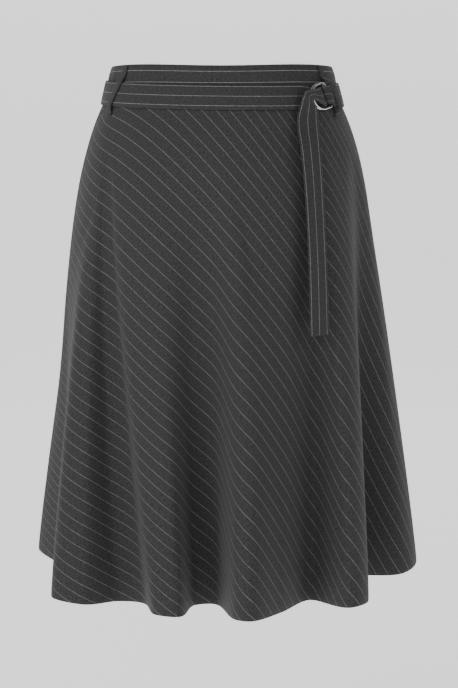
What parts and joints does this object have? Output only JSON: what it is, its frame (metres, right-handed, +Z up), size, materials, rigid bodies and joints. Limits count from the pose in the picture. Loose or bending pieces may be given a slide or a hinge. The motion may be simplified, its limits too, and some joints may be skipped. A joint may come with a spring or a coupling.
{
  "type": "flared midi skirt with a D-ring belt",
  "caption": "Flared midi skirt on a straight waistband, with belt loops, a D-ring belt whose end hangs in front, and a centre-back zip.",
  "frame": {"origin": "middle of the waist, 22 mm above the waist seam", "axes": "+Z up, the front towards -Y, the wearer's left towards +X"},
  "size_m": [0.518, 0.4789, 0.669],
  "materials": {
    "pinstripe_bias": "matt melange wool, pinstripes on the bias",
    "pinstripe_straight": "matt melange wool, pinstripes along the strip",
    "zip_tape": "woven tape",
    "polished_steel": "polished"
  },
  "bodies": {
    "skirt": {"skirt_front": "pinstripe_bias", "skirt_back_right": "pinstripe_bias", "skirt_back_left": "pinstripe_bias", "waistband_front": "pinstripe_straight", "waistband_back_right": "pinstripe_straight", "waistband_back_left": "pinstripe_straight", "belt_wrap": "pinstripe_straight", "belt_tail": "pinstripe_straight", "d_ring_inner": "polished_steel", "d_ring_outer": "polished_steel", "belt_loop_front_left": "pinstripe_straight", "belt_loop_front_right": "pinstripe_straight", "belt_loop_back_right": "pinstripe_straight", "belt_loop_back_left": "pinstripe_straight", "zip_tape": "zip_tape", "zip_slider": "polished_steel"},
    "zip_pull": {"zip_pull": "polished_steel"}
  },
  "joints": [
    {"name": "zip_pull_hinge", "type": "hinge", "parent": "skirt", "child": "zip_pull", "pos_m": [0, 0.11443, 0.0195], "axis": [1, 0, 0], "range_deg": [0, 160]}
  ]
}
